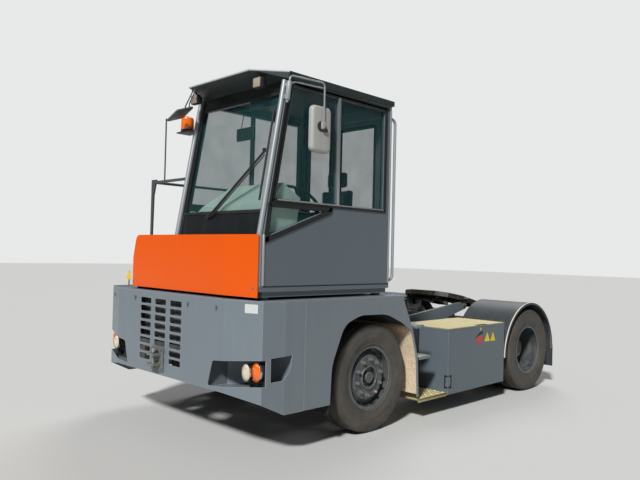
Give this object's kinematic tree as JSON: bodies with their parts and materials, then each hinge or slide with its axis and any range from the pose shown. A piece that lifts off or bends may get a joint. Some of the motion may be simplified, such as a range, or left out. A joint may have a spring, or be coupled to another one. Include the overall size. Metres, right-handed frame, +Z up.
{
  "type": "terminal tractor",
  "caption": "Terminal tractor with an offset one-man cab, steered front wheels, twin rear wheels and a lifting fifth wheel.",
  "frame": {"origin": "on the ground, midway between the front and rear faces and on the centreline", "axes": "+X to the vehicle's left, +Y to its rear, +Z up"},
  "size_m": [2.5, 5.39, 3.15],
  "materials": {
    "chassis_black": "satin chassis paint",
    "body_grey": "semi-gloss blue-grey paint",
    "nose_orange": "gloss orange moulding",
    "mudguard_tan": "rubber caked with dry mud",
    "tyre_black": "worn rubber",
    "rim_black": "black wheel paint",
    "cast_parts": "oily casting",
    "steel_pins": "bare steel",
    "rod_chrome": "polished rod",
    "cab_glass": "lightly tinted glass",
    "dash_plastic": "grained pale green plastic",
    "black_plastic": "grained black plastic",
    "seat_fabric": "dark woven cloth",
    "lamp_lens": "clear lens",
    "amber_lens": "amber lens",
    "red_lens": "red lens",
    "work_lens": "cream lens in a dark case",
    "chequer_plate": "faded cream-yellow chequer plate",
    "mirror_case": "pale grey plastic",
    "tube_grey": "grey tube",
    "radiator_black": "black coated core"
  },
  "bodies": {
    "chassis": {"frame_rails": "chassis_black", "frame_crossmembers": "chassis_black", "front_bumper": "body_grey", "side_panel_left": "body_grey", "side_panel_right": "body_grey", "front_deck": "body_grey", "front_mudguards": "mudguard_tan", "tow_coupling": "chassis_black", "front_lamps": "lamp_lens", "engine": "cast_parts", "gearbox": "cast_parts", "radiator": "radiator_black", "front_axle": "cast_parts", "front_springs": "steel_pins", "rear_axle": "cast_parts", "nose_panel": "nose_orange", "engine_hood": "body_grey", "cab_floor": "body_grey", "cab_left_wall": "body_grey", "cab_right_wall": "body_grey", "cab_front_frame": "body_grey", "cab_rear_wall": "body_grey", "cab_roof": "body_grey", "cab_glass": "cab_glass", "dashboard": "dash_plastic", "seat_base": "black_plastic", "seat_cushions": "seat_fabric", "mirrors": "mirror_case", "work_lamps": "work_lens", "beacon": "amber_lens", "handrails": "tube_grey", "cab_pillars": "tube_grey", "wiper": "black_plastic", "side_box": "body_grey", "entry_steps": "chequer_plate", "fuel_tank": "chassis_black", "hydraulic_tank": "chassis_black", "rear_fenders": "chassis_black", "mud_flaps": "tyre_black", "lift_brackets": "chassis_black", "tail_lamps": "red_lens"},
    "knuckle_left": {"knuckle_left": "cast_parts"},
    "knuckle_right": {"knuckle_right": "cast_parts"},
    "track_rod": {"track_rod": "cast_parts"},
    "wheel_front_left": {"rim_front_left": "rim_black", "tyre_front_left": "tyre_black"},
    "wheel_front_right": {"rim_front_right": "rim_black", "tyre_front_right": "tyre_black"},
    "wheels_rear_left": {"rims_rear_left": "rim_black", "tyres_rear_left": "tyre_black"},
    "wheels_rear_right": {"rims_rear_right": "rim_black", "tyres_rear_right": "tyre_black"},
    "lift_arm": {"lift_arm": "body_grey"},
    "fifth_wheel": {"fifth_wheel": "chassis_black"},
    "lift_barrels": {"lift_barrels": "chassis_black"},
    "lift_rods": {"lift_rods": "rod_chrome"},
    "cab_door": {"cab_door": "body_grey", "door_window": "cab_glass"},
    "side_box_lid": {"side_box_lid": "chequer_plate"},
    "steering_wheel": {"steering_wheel": "black_plastic"}
  },
  "joints": [
    {"name": "steer_left", "type": "hinge", "parent": "chassis", "child": "knuckle_left", "pos_m": [0.9, -1.105, 0.508], "axis": [0, 0, 1], "range_deg": [-36, 36]},
    {"name": "steer_right", "type": "hinge", "parent": "chassis", "child": "knuckle_right", "pos_m": [-0.9, -1.105, 0.508], "axis": [0, 0, 1], "range_deg": [-36, 36]},
    {"name": "track_rod_swing", "type": "hinge", "parent": "knuckle_left", "child": "track_rod", "pos_m": [0.9, -0.935, 0.395], "axis": [0, 0, 1], "range_deg": [-36, 36]},
    {"name": "steering_wheel_turn", "type": "hinge", "parent": "chassis", "child": "steering_wheel", "pos_m": [0.7, -1.655, 2.15], "axis": [0, 0.5736, 0.8192], "range_deg": [-504, 504]},
    {"name": "front_left_roll", "type": "hinge", "parent": "knuckle_left", "child": "wheel_front_left", "pos_m": [1.04, -1.105, 0.508], "axis": [1, 0, 0], "continuous": true},
    {"name": "front_right_roll", "type": "hinge", "parent": "knuckle_right", "child": "wheel_front_right", "pos_m": [-1.04, -1.105, 0.508], "axis": [1, 0, 0], "continuous": true},
    {"name": "rear_left_roll", "type": "hinge", "parent": "chassis", "child": "wheels_rear_left", "pos_m": [0.92, 1.895, 0.508], "axis": [1, 0, 0], "continuous": true},
    {"name": "rear_right_roll", "type": "hinge", "parent": "chassis", "child": "wheels_rear_right", "pos_m": [-0.92, 1.895, 0.508], "axis": [1, 0, 0], "continuous": true},
    {"name": "lift", "type": "hinge", "parent": "chassis", "child": "lift_arm", "pos_m": [0, 0.345, 0.88], "axis": [1, 0, 0], "range_deg": [0, 26]},
    {"name": "plate_pitch", "type": "hinge", "parent": "lift_arm", "child": "fifth_wheel", "pos_m": [0, 1.665, 1.025], "axis": [1, 0, 0], "range_deg": [-14, 15]},
    {"name": "barrel_swing", "type": "hinge", "parent": "chassis", "child": "lift_barrels", "pos_m": [0, 0.495, 0.65], "axis": [1, 0, 0], "range_deg": [-1, 27]},
    {"name": "rod_slide", "type": "slide", "parent": "lift_barrels", "child": "lift_rods", "axis": [0, 0.9333, 0.359], "range_m": [-0.002, 0.13]},
    {"name": "cab_door_swing", "type": "hinge", "parent": "chassis", "child": "cab_door", "pos_m": [0.4325, -0.873, 2.18], "axis": [0, 0, 1], "range_deg": [0, 110]},
    {"name": "side_box_lid_lift", "type": "hinge", "parent": "chassis", "child": "side_box_lid", "pos_m": [0.592, 0.64, 0.8903], "axis": [0, -1, 0], "range_deg": [0, 95]}
  ],
  "couplings": [
    {"joint": "steer_right", "follows": "steer_left", "ratio": 1},
    {"joint": "track_rod_swing", "follows": "steer_left", "ratio": -1},
    {"joint": "steering_wheel_turn", "follows": "steer_left", "ratio": 14},
    {"joint": "barrel_swing", "follows": "lift", "ratio": 1.0078},
    {"joint": "rod_slide", "follows": "lift", "m_per_rad": 0.2722}
  ]
}
